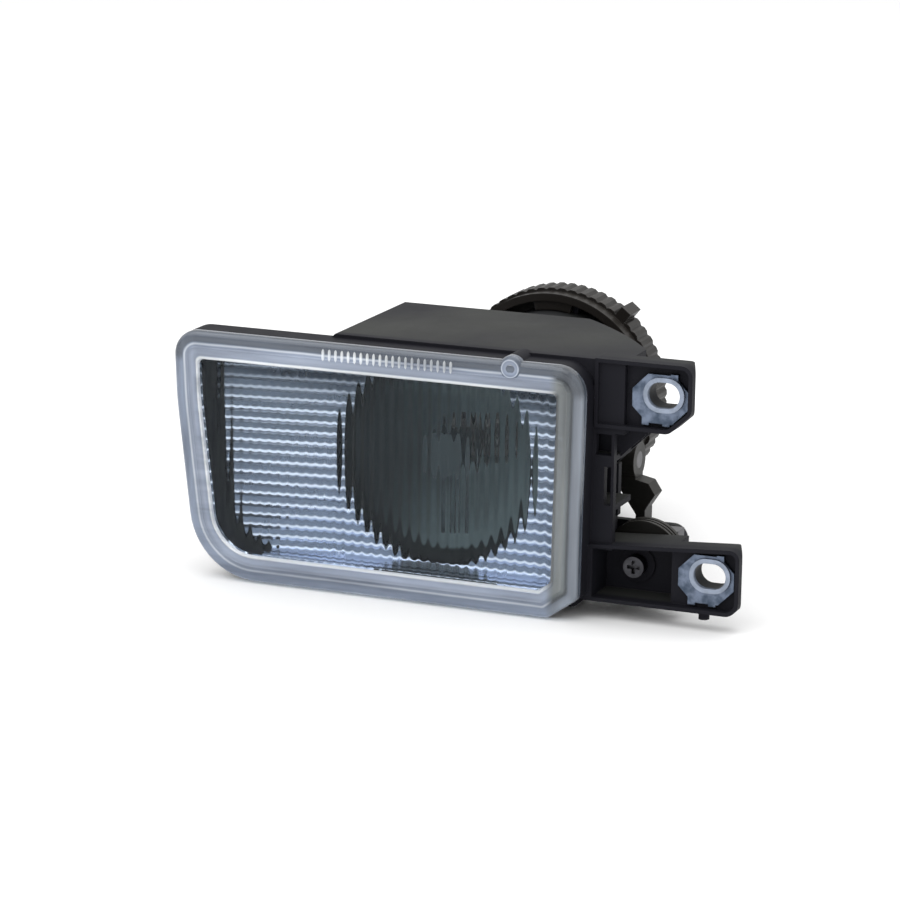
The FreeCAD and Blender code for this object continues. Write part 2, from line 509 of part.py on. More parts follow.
def housing():
    shape = glass_outline()
    lug_z = GLASS_TOP + LUG_RISE - LUG_R
    dish_out = LIP_IN + WALL
    pieces = [
        plate(shape, RIM_FRONT, FLOOR_BACK),
        along_y(LUG_R, LUG_X, lug_z, RIM_FRONT, FLOOR_BACK),
        plate(grow(shape, dish_out), FLOOR_BACK, DISH_STRAIGHT),
        taper(shape, dish_out, DISH_STRAIGHT, dish_out - DISH_TAPER, DISH_BACK),
        box_body(0, GROOVE_FLOOR),
        along_y(NECK_R, 0, 0, BOX_BACK - WALL, NECK_BACK),
        along_x(RIGHT_BOSS_R, TILT_Y, 0, RIGHT_BOSS_START, RIGHT_BOSS_END),
        upper_arm(),
        lower_arm(),
    ]
    body = fuse(pieces + side_parts() + neck_parts())
    body = body.cut(plate(grow(shape, LIP_OUT), RIM_FRONT - 1, LIP_FRONT))
    body = body.cut(band(shape, -RIM_WALL, LIP_OUT, RIM_FRONT - 1, GROOVE_FLOOR))
    body = body.cut(plate(grow(shape, LIP_IN), 0, DISH_STRAIGHT))
    body = body.cut(taper(shape, LIP_IN, DISH_STRAIGHT, LIP_IN - DISH_TAPER, DISH_BACK - WALL))
    body = body.cut(box_body(WALL, FLOOR_BACK))
    body = body.cut(along_y(NECK_R - WALL, 0, 0, BOX_BACK - 2 * WALL, NECK_BACK + 1))
    left_boss = along_x(LEFT_BOSS_R, TILT_Y, 0, BOX_LEFT + WALL / 2, BOX_LEFT + WALL + LEFT_BOSS_LENGTH)
    right_boss = along_x(RIGHT_BOSS_R, TILT_Y, 0, RIGHT_BOSS_START, BOX_RIGHT)
    body = fuse([body, left_boss, right_boss] + trim_posts())
    body = body.cut(along_x(PIVOT_BUSH_R, TILT_Y, 0, BOX_LEFT + WALL / 2, 0))
    body = body.cut(along_x(PIVOT_BUSH_R, TILT_Y, 0, 0, RIGHT_BOSS_END + 1))
    body = body.cut(along_y(SCREW_BUSH_R, SCREW_X, SCREW_Z, POCKET_FLOOR - 1, POCKET_FLOOR + POCKET_WALL + 1))
    body = body.cut(along_y(SCREW_R + RUNNING, SCREW_X, SCREW_Z, SUPPORT_FRONT - 1, SCREW_END))
    body = body.cut(along_y(VENT_BORE, VENT_X, VENT_Z, BOX_BACK - 5, BOX_BACK + VENT_LENGTH + 1))
    for x, z in ((UPPER_SLOT_X, UPPER_SLOT_Z), (LOWER_SLOT_X, LOWER_SLOT_Z)):
        body = body.cut(slot_solid(SLOT_LENGTH + 2 * BUSH_WALL, SLOT_WIDTH + 2 * BUSH_WALL, x, z,
                                   EAR_FRONT - 1, EAR_BACK + 1))
    return body.cut(connector_pins()).removeSplitter()


def slot_bush(x, z):
    """Metal bush of a mounting slot: a cornered plate with a raised lip, and small tabs."""
    left, right, down, up, c = x - BUSH_LEFT, x + BUSH_RIGHT, z - BUSH_DOWN, z + BUSH_UP, BUSH_CORNER
    front = EAR_FRONT - BUSH_T
    corners = [(left, down + c), (left + c, down), (right - c, down), (right, down + c),
               (right, up - c), (right - c, up), (left + c, up), (left, up - c)]
    long, wide = SLOT_LENGTH + 2 * BUSH_WALL, SLOT_WIDTH + 2 * BUSH_WALL
    pieces = [prism_y(corners, front, EAR_FRONT), slot_solid(long, wide, x, z, front - BUSH_LIP, EAR_BACK)]
    for tab_x, low, high in ((left + c - 0.6, down - 0.8, down + 2), (right - c - 2.2, down - 0.8, down + 2),
                             (right - c + 0.4, up - 2, up + 0.4)):
        pieces.append(box(tab_x - 1.3, tab_x + 1.3, front, EAR_FRONT, low, high))
    return fuse(pieces).cut(slot_solid(SLOT_LENGTH, SLOT_WIDTH, x, z, front - 5, EAR_BACK + 5))


def vent_cap():
    outer = along_y(VENT_CAP_R, VENT_X, VENT_Z, BOX_BACK + 1, BOX_BACK + VENT_CAP_LENGTH)
    return outer.cut(along_y(VENT_R, VENT_X, VENT_Z, BOX_BACK, BOX_BACK + VENT_LENGTH))


def connector_pins():
    pins = []
    for side in (-1, 1):
        x = SOCKET_X + side * PIN_SPACING / 2
        pins.append(box(x - PIN_W / 2, x + PIN_W / 2, PIN_FRONT, BOX_BACK + PIN_OUT,
                        SOCKET_Z - PIN_T / 2, SOCKET_Z + PIN_T / 2))
    return Part.makeCompound(pins)


def lead(side):
    """A lead from a connector pin, round the back of the reflector, to the bulb's plug."""
    x = SOCKET_X + side * PIN_SPACING / 2
    turn_y = 58.5 + side * 1.5
    points = [V(x, PIN_FRONT - 0.01, SOCKET_Z), V(x, turn_y, SOCKET_Z), V(-24 + side * 2, turn_y, -30),
              V(-14 + side * 2, 74, -20), V(side * 2, 97, -14), V(side * 2, 97, -5),
              V(side * 2, 94, 0), V(side * 2, PLUG_BACK + CLEAR, 0)]
    return wire_path(LEAD_R, points)


# ---- reflector, its pivots, bulb and clip -----------------------------------------------------------
def reflector():
    outer = bowl_points(REFLECTOR_WALL)
    shell = turned([(0, REFLECTOR_FRONT), (outer[-1][0], REFLECTOR_FRONT)] + outer[::-1] + [(0, outer[0][1])])
    tube = along_y(HOLDER_R, 0, 0, TILT_Y, HOLDER_BACK)
    ear = box(-8, 8, HOLDER_BACK - 5, HOLDER_BACK, HOLDER_R - 5, CLIP_SCREW_Z + 4)
    left_end = BOX_LEFT + WALL + LEFT_BOSS_LENGTH + CLEAR
    left = along_x(PIVOT_BOSS_R, TILT_Y, 0, left_end, -HOLDER_R)
    pin = along_x(PIVOT_R, TILT_Y, 0, BOX_LEFT + WALL / 2 + CLEAR, left_end + 1)
    right = along_x(PIVOT_BOSS_R, TILT_Y, 0, HOLDER_R, RIGHT_BOSS_START - 4)
    body = fuse([shell, tube, ear, left, pin, right]).cut(bowl_space())
    body = body.cut(along_y(BULB_HOLE_R, 0, 0, TILT_Y, HOLDER_BACK + 1))
    body = body.cut(pivot_shaft())
    return body.cut(along_y(CLIP_SCREW_R, 0, CLIP_SCREW_Z, HOLDER_BACK - 6, HOLDER_BACK + 1))


def pivot_shaft():
    return along_x(PIVOT_R, TILT_Y, 0, HOLDER_R + 10, HUB_LEFT + HUB_LENGTH)


def pivot_bush_left():
    return ring_x(PIVOT_BUSH_R, PIVOT_R + RUNNING, TILT_Y, 0, BOX_LEFT + WALL / 2,
                  BOX_LEFT + WALL + LEFT_BOSS_LENGTH)


def pivot_bush_right():
    return ring_x(PIVOT_BUSH_R, PIVOT_R + RUNNING, TILT_Y, 0, RIGHT_BOSS_START,
                  RIGHT_BOSS_END - 2 * O_RING_SECTION)


def pivot_o_ring():
    x = RIGHT_BOSS_END - O_RING_SECTION
    return Part.makeTorus(PIVOT_BUSH_R - O_RING_SECTION - 0.01, O_RING_SECTION, V(x, TILT_Y, 0), V(1, 0, 0))


def bulb_glass():
    def tube(radius, front, back):
        return fuse([along_y(radius, 0, 0, front + radius, back), Part.makeSphere(radius, V(0, front + radius, 0))])

    outer = tube(BULB_GLASS_R, BULB_GLASS_FRONT, BULB_GLASS_BACK)
    w = BULB_GLASS_WALL
    return outer.cut(tube(BULB_GLASS_R - w, BULB_GLASS_FRONT + w, BULB_GLASS_BACK - w))


def bulb_filament():
    """The coil across the bulb, in the reflector's focus, and its two supports."""
    focus = VERTEX_Y - REFLECTOR_FOCUS
    back = BULB_GLASS_BACK - BULB_GLASS_WALL
    coil = along_x(FILAMENT_R, focus, 0, -FILAMENT_HALF, FILAMENT_HALF)
    posts = [along_y(SUPPORT_WIRE_R, x, 0, focus, back) for x in (-FILAMENT_HALF, FILAMENT_HALF)]
    return fuse([coil] + posts)


def bulb_base():
    body = along_y(BULB_BODY_R, 0, 0, BULB_GLASS_BACK - 3, BULB_CUP_BACK)
    flange = along_y(BULB_FLANGE_R, 0, 0, HOLDER_BACK, SEAT_Y)
    pocket = along_y(BULB_GLASS_R, 0, 0, BULB_GLASS_BACK - 4, BULB_GLASS_BACK)
    return fuse([body, flange]).cut(pocket)


def bulb_blades():
    blades = [box(side * BLADE_X - BLADE_HALF, side * BLADE_X + BLADE_HALF, BULB_CUP_BACK, BLADE_BACK,
                  -BLADE_T / 2, BLADE_T / 2) for side in (-1, 1)]
    return Part.makeCompound(blades)


def bulb_plug():
    body = box(-PLUG_HALF_W, PLUG_HALF_W, PLUG_FRONT, PLUG_BACK, -PLUG_HALF_H, PLUG_HALF_H)
    return body.cut(bulb_blades())


def bulb_shield():
    """A cup over the front of the bulb, on one leg that stands in the bowl."""
    cup = along_y(SHIELD_R, 0, 0, SHIELD_FRONT, SHIELD_BACK)
    cup = cup.cut(along_y(SHIELD_R - SHIELD_WALL, 0, 0, SHIELD_FRONT + SHIELD_WALL, SHIELD_BACK + 1))
    leg = box(-SHIELD_LEG_HALF, SHIELD_LEG_HALF, SHIELD_LEG_Y, SHIELD_LEG_Y + SHIELD_WALL,
              -REFLECTOR_R, SHIELD_WALL - SHIELD_R)
    return fuse([cup, leg.common(bowl_space())])


def bulb_clip():
    """Wire spring: hinged behind a screw head, its two legs press on the bulb's flange."""
    hinge_y = HOLDER_BACK + WIRE_R + RUNNING
    leg_y = SEAT_Y + WIRE_R + RUNNING
    points = []
    for side in (-1, 1):
        half = [V(side * CLIP_X, leg_y, CLIP_TIP_Z), V(side * CLIP_X, leg_y, 9),
                V(side * CLIP_X, hinge_y, CLIP_HINGE_Z)]
        points += half if side < 0 else half[::-1]
    return wire_path(WIRE_R, points)


def bulb_clip_screw():
    head_y = HOLDER_BACK + 2 * (WIRE_R + RUNNING)
    shank = along_y(CLIP_SCREW_R, 0, CLIP_SCREW_Z, HOLDER_BACK - 5, head_y)
    head = along_y(CLIP_HEAD_R, 0, CLIP_SCREW_Z - 0.6, head_y, head_y + CLIP_HEAD_T)
    collar = ring_y(2.4, CLIP_SCREW_R, 0, CLIP_SCREW_Z, HOLDER_BACK, head_y)
    return fuse([shank, head, collar])


# ---- aiming gear ------------------------------------------------------------------------------------
def aiming_screw():
    head = along_y(SCREW_HEAD_R, SCREW_X, SCREW_Z, SCREW_HEAD_BACK - SCREW_HEAD_LENGTH, SCREW_HEAD_BACK)
    shank = along_y(SCREW_R, SCREW_X, SCREW_Z, SCREW_HEAD_BACK, SCREW_END)
    body = fuse([head, shank])
    front = SCREW_HEAD_BACK - SCREW_HEAD_LENGTH
    for w, h in ((CROSS_W, CROSS_L), (CROSS_L, CROSS_W)):
        body = body.cut(box(SCREW_X - w / 2, SCREW_X + w / 2, front - 1, front + CROSS_DEPTH,
                            SCREW_Z - h / 2, SCREW_Z + h / 2))
    clip_y = SUPPORT_FRONT + SUPPORT_THICK + CLEAR
    groove = ring_y(SCREW_R + 1, RETAINER_BORE, SCREW_X, SCREW_Z, clip_y, clip_y + RETAINER_T)
    return body.cut(groove)


def screw_bush():
    body = along_y(SCREW_BUSH_R, SCREW_X, SCREW_Z, SCREW_HEAD_BACK + RUNNING, POCKET_FLOOR + POCKET_WALL)
    flange = along_y(SCREW_BUSH_FLANGE_R, SCREW_X, SCREW_Z, SCREW_HEAD_BACK + RUNNING, POCKET_FLOOR)
    return fuse([body, flange]).cut(along_y(SCREW_R + RUNNING, SCREW_X, SCREW_Z, 0, SCREW_END))


def screw_retainer():
    clip_y = SUPPORT_FRONT + SUPPORT_THICK + CLEAR
    return ring_y(RETAINER_R, RETAINER_BORE, SCREW_X, SCREW_Z, clip_y, clip_y + RETAINER_T)


def aiming_wheel():
    """A hand wheel of three rims, pressed on the screw."""
    hub = along_y(WHEEL_HUB_R, SCREW_X, SCREW_Z, POCKET_FLOOR + POCKET_WALL + CLEAR, WHEEL_BACK)
    body = fuse([hub, along_y(WHEEL_R, SCREW_X, SCREW_Z, WHEEL_FRONT, WHEEL_BACK)])
    for y in WHEEL_GROOVES:
        body = body.cut(ring_y(WHEEL_R + 1, WHEEL_R - WHEEL_GROOVE_DEPTH, SCREW_X, SCREW_Z,
                               y, y + WHEEL_GROOVE_W))
    return body.cut(along_y(SCREW_R, SCREW_X, SCREW_Z, 0, SCREW_END))


def aiming_nut():
    half = NUT_W / 2
    block = box(SCREW_X - half, SCREW_X + half, TILT_Y - NUT_D / 2, TILT_Y + NUT_D / 2,
                SCREW_Z - half, SCREW_Z + half)
    pin = along_x(NUT_PIN_R, TILT_Y, SCREW_Z, SCREW_X - half - NUT_PIN_LENGTH, SCREW_X - half)
    return fuse([block, pin]).cut(along_y(SCREW_R + RUNNING, SCREW_X, SCREW_Z, 0, SCREW_END))


def aiming_lever():
    """Clamped on the pivot shaft: cranked outwards, and forked round the nut's pin."""
    hub_right = HUB_LEFT + HUB_LENGTH
    hub = along_x(HUB_R, TILT_Y, 0, HUB_LEFT, hub_right)
    half, arm_left, foot = LEVER_W / 2, LEVER_RIGHT - LEVER_THICK, SCREW_Z - LEVER_TAIL
    arm = prism_y([(HUB_LEFT + 1.6, 0), (hub_right, 0), (hub_right, -6.4), (LEVER_RIGHT + 1, -7.4),
                   (LEVER_RIGHT + 3.6, -11.4), (LEVER_RIGHT, -17), (LEVER_RIGHT, foot), (arm_left, foot),
                   (arm_left, -19), (HUB_LEFT + 1.6, -10)], TILT_Y - half, TILT_Y + half)
    body = fuse([hub, arm]).cut(along_x(PIVOT_R, TILT_Y, 0, 0, SCREW_X))
    gap = NUT_PIN_R + RUNNING
    fork = box(0, SCREW_X, TILT_Y - gap, TILT_Y + gap, foot - 1, SCREW_Z + NUT_PIN_R + 1)
    return body.cut(fork).cut(lever_screw())


def lever_screw():
    x = HUB_LEFT + GRUB_R + 0.6
    return along_y(GRUB_R, x, 0, TILT_Y - HUB_R + 0.4, TILT_Y - PIVOT_R)


# ---- rear cap ---------------------------------------------------------------------------------------
def rear_cap():
    ring = along_y(CAP_RING_R, 0, 0, CAP_RING_FRONT, CAP_BACK)
    grip = toothed(CAP_R, CAP_TOOTH, CAP_TEETH, 0, 0, CAP_GRIP_FRONT, CAP_BACK)
    pieces = [ring, grip]
    for angle in CAP_LUG_ANGLES:
        lug = box(CAP_R - 3, CAP_R + CAP_LUG_RISE, CAP_GRIP_FRONT, CAP_BACK, -CAP_LUG_W / 2, CAP_LUG_W / 2)
        lug.rotate(V(0, 0, 0), Y, -angle)
        pieces.append(lug)
    pieces.append(box(-HANDLE_HALF_L, HANDLE_HALF_L, CAP_BACK - 1, HANDLE_BACK, -HANDLE_HALF_W, HANDLE_HALF_W))
    body = fuse(pieces).cut(along_y(CAP_BORE_R, 0, 0, CAP_RING_FRONT - 1, CAP_FLOOR))
    back = NECK_LUG_FRONT - CLEAR
    locks = [arc_block(NECK_R + CLEAR, CAP_BORE_R + 1, back - LOCK_LUG_T, back, a, CAP_LOCK_ANGLE)
             for a in LOCK_ANGLES]
    return fuse([body] + locks)


def cap_seal():
    return ring_y(NECK_R, NECK_R - WALL, 0, 0, NECK_BACK + RUNNING, CAP_FLOOR)


# ---- write every sub-part ---------------------------------------------------------------------------
write("housing", housing())
write("glass_lens", glass_lens())
write("lens_seal", lens_seal())
write("trim_plate", trim_plate())
write("slot_bush_upper", slot_bush(UPPER_SLOT_X, UPPER_SLOT_Z))
write("slot_bush_lower", slot_bush(LOWER_SLOT_X, LOWER_SLOT_Z))
write("vent_cap", vent_cap())
write("connector_pins", connector_pins())
write("lead_supply", lead(1))
write("lead_earth", lead(-1))
write("reflector", reflector())
write("pivot_shaft", pivot_shaft())
write("pivot_bush_left", pivot_bush_left())
write("pivot_bush_right", pivot_bush_right())
write("pivot_o_ring", pivot_o_ring())
write("bulb_glass", bulb_glass())
write("bulb_filament", bulb_filament())
write("bulb_base", bulb_base())
write("bulb_blades", bulb_blades())
write("bulb_plug", bulb_plug())
write("bulb_shield", bulb_shield())
write("bulb_clip", bulb_clip())
write("bulb_clip_screw", bulb_clip_screw())
write("aiming_screw", aiming_screw())
write("screw_bush", screw_bush())
write("screw_retainer", screw_retainer())
write("aiming_wheel", aiming_wheel())
write("aiming_nut", aiming_nut())
write("aiming_lever", aiming_lever())
write("lever_screw", lever_screw())
write("rear_cap", rear_cap())
write("cap_seal", cap_seal())
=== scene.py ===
"""A front fog lamp on a pale floor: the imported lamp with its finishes, and the finely shaped pieces
that stand in for its glass and trim and line its bowl. Lengths of shapes are millimetres on the lamp's
own axes: the optical axis is x = 0, z = 0, and the front of the glass is y = 0. Places and sizes inside
the finishes are metres on the row's axes."""
import bpy
import math
import numpy as np
from mathutils import Matrix, Vector


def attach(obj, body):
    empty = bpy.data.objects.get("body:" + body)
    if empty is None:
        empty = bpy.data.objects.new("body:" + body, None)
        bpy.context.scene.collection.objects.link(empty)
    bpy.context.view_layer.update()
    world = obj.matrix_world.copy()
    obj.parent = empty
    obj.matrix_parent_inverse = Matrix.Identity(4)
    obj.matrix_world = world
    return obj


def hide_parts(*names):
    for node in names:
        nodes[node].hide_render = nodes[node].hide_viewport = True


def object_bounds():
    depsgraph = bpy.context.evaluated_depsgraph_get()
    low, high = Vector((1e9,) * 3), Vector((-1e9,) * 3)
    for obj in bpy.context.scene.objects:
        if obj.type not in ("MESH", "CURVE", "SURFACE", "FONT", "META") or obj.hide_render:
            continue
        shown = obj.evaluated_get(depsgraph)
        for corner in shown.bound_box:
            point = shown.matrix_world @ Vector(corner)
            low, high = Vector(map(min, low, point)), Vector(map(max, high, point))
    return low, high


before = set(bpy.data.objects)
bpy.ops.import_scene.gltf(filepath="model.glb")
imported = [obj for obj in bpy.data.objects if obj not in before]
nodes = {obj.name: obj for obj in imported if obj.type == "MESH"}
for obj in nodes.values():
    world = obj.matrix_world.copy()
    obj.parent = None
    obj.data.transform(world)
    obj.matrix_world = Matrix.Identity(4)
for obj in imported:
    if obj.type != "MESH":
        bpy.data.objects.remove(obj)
cad_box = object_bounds()
LAMP = np.array((-87.0, -20.0, -34.2))     # from the lamp's axes to the row's origin
AXIS_X, AXIS_Z = -0.087, -0.0342           # the optical axis on the row's axes, metres


def metres(points):
    """Points on the lamp's axes in millimetres, as row-frame metres: (point + LAMP) / 1000."""
    return (np.asarray(points, float) + LAMP) * 0.001


# ---- shader maths -----------------------------------------------------------------------------------
class Signal:
    """A node's output. +, - and * on it, with numbers or other signals, add Math nodes."""

    def __init__(self, finish, socket):
        self.finish, self.socket = finish, socket

    def maths(self, operation, *values):
        return self.finish.node("Math", {i: v for i, v in enumerate(values)}, operation=operation)

    def __add__(self, other):
        return self.maths("ADD", self, other)

    def __sub__(self, other):
        return self.maths("SUBTRACT", self, other)

    def __rsub__(self, other):
        return self.maths("SUBTRACT", other, self)

    def __mul__(self, other):
        return self.maths("MULTIPLY", self, other)

    __radd__ = __add__
    __rmul__ = __mul__

    def power(self, exponent):
        return self.maths("POWER", self, exponent)

    def above(self, low, high):
        """0 below low, 1 above high, and smooth between them."""
        return self.finish.node("MapRange", {"Value": self, "From Min": low, "From Max": high},
                                interpolation_type="SMOOTHSTEP")


class Finish:
    """One material. node() adds any node: its settings first, then the values or links of its sockets."""

    def __init__(self, name):
        self.material = bpy.data.materials.new(name)
        self.material.use_nodes = True
        self.tree = self.material.node_tree
        self.tree.nodes.clear()

    def node(self, kind, sockets=None, out=0, stops=None, **settings):
        made = self.tree.nodes.new("ShaderNode" + kind)
        for key, value in settings.items():
            setattr(made, key, value)
        if stops:
            ramp = made.color_ramp
            for place, (at, colour) in enumerate(stops):
                ends = {0: 0, len(stops) - 1: -1}
                element = ramp.elements[ends[place]] if place in ends else ramp.elements.new(at)
                element.position, element.color = at, (*colour, 1)
        for key, value in (sockets or {}).items():
            self.put(made.inputs[key], value)
        return Signal(self, made.outputs[out]) if made.outputs else None

    def put(self, socket, value):
        if isinstance(value, Signal):
            self.tree.links.new(value.socket, socket)
        elif socket.type == "RGBA" and len(value) == 3:
            socket.default_value = (*value, 1)
        else:
            socket.default_value = value

    def place(self):
        return self.node("TexCoord", out="Object")

    def axes(self):
        split = self.node("SeparateXYZ", {0: self.place()})
        return [Signal(self, socket) for socket in split.socket.node.outputs]

    def noise(self, scale, detail=2.0, stretch=(1, 1, 1)):
        where = self.node("Mapping", {"Vector": self.place(), "Scale": stretch})
        return self.node("TexNoise", {"Vector": where, "Scale": scale, "Detail": detail})

    def mix(self, factor, first, second):
        return self.node("Mix", {0: factor, 6: first, 7: second}, out=2, data_type="RGBA")

    def bump(self, height, depth, strength=1.0, under=None):
        sockets = {"Height": height, "Distance": depth, "Strength": strength}
        if under:
            sockets["Normal"] = under
        return self.node("Bump", sockets)

    def up(self):
        """How far a face points upwards: the third part of its normal."""
        normal = self.node("NewGeometry", out="Normal")
        split = self.node("SeparateXYZ", {0: normal})
        return Signal(self, split.socket.node.outputs[2])

    def surface(self, **values):
        """The material's main shader. Underscores in the names stand for spaces."""
        return self.node("BsdfPrincipled", {key.replace("_", " "): value for key, value in values.items()})

    def show(self, shader):
        self.node("OutputMaterial", {"Surface": shader})
        return self.material


def plastic(name, dark, light, gloss, grain, edge=0.0005, shine=0.18, dust_and_top_light_depths=(-1.0, -0.9)):
    """Moulded plastic: fine grain, slow blotches of colour, paler dust mixed with painted top light on
    faces that point up and lie behind the two depths it is given, and edges rounded by the normal."""
    finish = Finish(name)
    y = finish.axes()[1]
    cloud = finish.noise(22, 3)
    speck = finish.noise(grain, 2)
    # painted top light mixed with real dust: faces that point up, behind the given depths, turn paler
    dust_and_top_light = finish.up().above(0.25, 0.9) * cloud.above(0.2, 0.75) * y.above(*dust_and_top_light_depths)
    colour = finish.mix(dust_and_top_light * 0.75 + speck * 0.12, dark, light)
    rough = finish.noise(90, 2) * 0.14 + (gloss - 0.07)
    soft = finish.node("Bevel", {"Radius": edge}, samples=4)
    normal = finish.bump(speck, 0.00004, 0.5, soft)
    return finish.show(finish.surface(Base_Color=colour, Roughness=rough, Normal=normal,
                                      Specular_IOR_Level=shine))


def metal(name, dull, bright, gloss, streak):
    """Plated or drawn metal: streaked colour and roughness, faint tool marks."""
    finish = Finish(name)
    streaks = finish.noise(300, 3, streak)
    colour = finish.mix(streaks, dull, bright)
    rough = finish.noise(160, 2) * 0.16 + (gloss - 0.08)
    soft = finish.node("Bevel", {"Radius": 0.0003}, samples=4)
    normal = finish.bump(streaks, 0.00003, 0.4, soft)
    return finish.show(finish.surface(Base_Color=colour, Metallic=1.0, Roughness=rough, Normal=normal))


def zinc_plate():
    """Dull zinc on the slot plates: a painted highlight on the raised lip, and painted shade inside the
    slot.
    """
    finish = Finish("zinc_plate")
    y = finish.axes()[1]
    blotch = finish.noise(260, 3)
    colour = finish.mix(blotch.above(0.3, 0.7), (0.055, 0.075, 0.11), (0.19, 0.23, 0.31))
    # painted highlight: the raised lip at the front turns paler
    colour = finish.mix((1 - y.above(-0.0088, -0.0082)) * 0.35, colour, (0.55, 0.61, 0.72))
    # painted shade: dark deep inside the slot
    colour = finish.mix(y.above(-0.0076, -0.0066), colour, (0.010, 0.011, 0.013))
    rough = blotch * 0.2 + 0.34
    soft = finish.node("Bevel", {"Radius": 0.0004}, samples=4)
    normal = finish.bump(blotch, 0.00006, 0.6, soft)
    return finish.show(finish.surface(Base_Color=colour, Metallic=0.8, Roughness=rough, Normal=normal,
                                      Specular_Tint=(0.5, 0.5, 0.5)))


def clear_glass(name, tint, sheen):
    """Clear glass that lets lamp light through without bending it; sheen scales what it reflects."""
    finish = Finish(name)
    ripple = finish.bump(finish.noise(120, 1), 0.00003, 0.3)
    body = finish.surface(Base_Color=tint, Roughness=0.0, IOR=1.5, Transmission_Weight=1.0, Normal=ripple,
                          Specular_Tint=sheen)
    through = finish.node("BsdfTransparent", {"Color": (0.9, 0.93, 0.94)})
    lamp_ray = finish.node("LightPath", out="Is Shadow Ray")
    return finish.show(finish.node("MixShader", {0: lamp_ray, 1: body, 2: through}))


def border_glass():
    """The pressed border, as bands that run round it: painted shade along the outer edge, thin lines of
    painted highlight, and a bright painted highlight line at the window. The right side is duller, with
    painted shade and a dark streak, and the top has painted shade in its outer part. Flow marks follow the
    sides."""
    finish = Finish("pressed_border_glass")
    across = finish.node("Attribute", out="Fac", attribute_name="across")
    x, _, z = finish.axes()
    right = x.above(-0.038, -0.034)
    sides = right + (1 - x.above(-0.173, -0.169))
    top = z.above(-0.003, 0.001)
    wander = across + finish.noise(45, 2) * 0.05 - 0.025
    # painted highlights and shade as base colour: a dark outer edge, pale lines, and a bright line at the
    # window
    painted_light_bands = finish.node("ValToRGB", {0: wander}, stops=[
        (0.0, (0.13, 0.15, 0.18)), (0.05, (0.50, 0.56, 0.66)), (0.12, (0.29, 0.34, 0.44)),
        (0.38, (0.31, 0.37, 0.48)), (0.44, (0.82, 0.88, 0.98)), (0.50, (0.33, 0.39, 0.51)),
        (0.70, (0.42, 0.48, 0.60)), (0.86, (0.35, 0.40, 0.50)), (0.91, (0.98, 1.0, 1.0)),
        (1.0, (0.90, 0.94, 1.0))])
    # painted shade: duller, darker bands with a dark streak for the right side
    dull = finish.node("ValToRGB", {0: wander}, stops=[
        (0.0, (0.14, 0.16, 0.19)), (0.08, (0.34, 0.38, 0.44)), (0.32, (0.22, 0.25, 0.30)),
        (0.42, (0.05, 0.06, 0.07)), (0.50, (0.16, 0.18, 0.19)), (0.62, (0.24, 0.26, 0.26)),
        (0.86, (0.25, 0.27, 0.27)), (0.95, (0.03, 0.035, 0.04)), (1.0, (0.015, 0.015, 0.02))])
    colour = finish.mix(right, painted_light_bands, dull)
    # painted shade on the outer part of the top band
    shade = top * (1 - across.above(0.34, 0.42)) * 0.66
    colour = finish.mix(shade, colour, (0.055, 0.065, 0.08))
    flow = finish.mix(sides, finish.noise(150, 3, (0.12, 1, 1)), finish.noise(150, 3, (1, 1, 0.12)))
    bright = finish.node("ValToRGB", {0: flow}, stops=[
        (0.32, (0.62, 0.64, 0.68)), (0.46, (0.98, 0.99, 1.0)), (0.68, (1.4, 1.4, 1.4))])
    colour = finish.node("Mix", {0: 1.0, 6: colour, 7: bright}, out=2, data_type="RGBA",
                         blend_type="MULTIPLY")
    normal = finish.bump(finish.noise(60, 3), 0.0001, 0.35)
    body = finish.surface(Base_Color=colour, Roughness=0.12, IOR=1.45, Transmission_Weight=0.5,
                          Coat_Weight=0.35, Coat_Roughness=0.04, Normal=normal)
    through = finish.node("BsdfTransparent", {"Color": (0.8, 0.84, 0.86)})
    lamp_ray = finish.node("LightPath", out="Is Shadow Ray")
    return finish.show(finish.node("MixShader", {0: lamp_ray, 1: body, 2: through}))


STEP, STEP_DEPTH = 3.9, 0.9                 # pitch and rise of the trim's steps
HOLE_R = 38.2                               # round hole in the trim


def trim_coat():
    """Metallised trim: a painted highlight on the ledge of every step, fainter near the top; flats paler
    towards the bottom, and painted shade at the right end.
    """
    finish = Finish("metallised_steps")
    x, _, z = finish.axes()
    # ledge is the lit mask from the trim's mesh: where the painted highlight goes
    ledge = finish.node("Attribute", out="Fac", attribute_name="ledge")
    cloud = finish.noise(30, 3, (1, 1, 2))
    low = 1 - z.above(-0.075, 0.0)
    # the painted highlight fades near the top
    ledge = ledge * (1 - z.above(-0.022, -0.006) * 0.8)
    flat = finish.mix(cloud * 0.4 + low * 0.5, (0.055, 0.068, 0.088), (0.155, 0.195, 0.285))
    # painted shade on the flats at the right end, beside the housing wall
    flat = finish.mix(x.above(-0.046, -0.034) * 0.8, flat, (0.012, 0.014, 0.018))
    colour = finish.mix(ledge, flat, (0.76, 0.83, 1.0))
    rough = cloud * 0.15 + 0.2
    normal = finish.bump(finish.noise(900, 2, (0.2, 1, 1)), 0.00003, 0.4)
    return finish.show(finish.surface(Base_Color=colour, Metallic=0.85, Roughness=rough, Normal=normal))


def mirror_coat():
    """Vacuum-metallised bowl: slate grey with slow clouds and upright haze, painted shade towards -X, and
    black painted shade at the mouth."""
    finish = Finish("vacuum_mirror")
    cloud = finish.noise(35, 3)
    x, _, z = finish.axes()
    out = ((x - AXIS_X).power(2) + (z - AXIS_Z).power(2)).power(0.5)
    streak = finish.noise(420, 2, (1, 1, 0.06))
    colour = finish.mix(cloud * 0.7 + streak * 0.5 - 0.1, (0.09, 0.125, 0.14), (0.30, 0.38, 0.41))
    # painted shade: the bowl darkens towards -X
    colour = finish.mix(x.above(-0.116, -0.084), (0.022, 0.030, 0.034), colour)
    # painted shade: black at the mouth of the bowl
    colour = finish.mix(out.above(0.0335, 0.0347), colour, (0.004, 0.005, 0.006))
    rough = cloud * 0.14 + 0.3
    return finish.show(finish.surface(Base_Color=colour, Metallic=0.5, Roughness=rough))


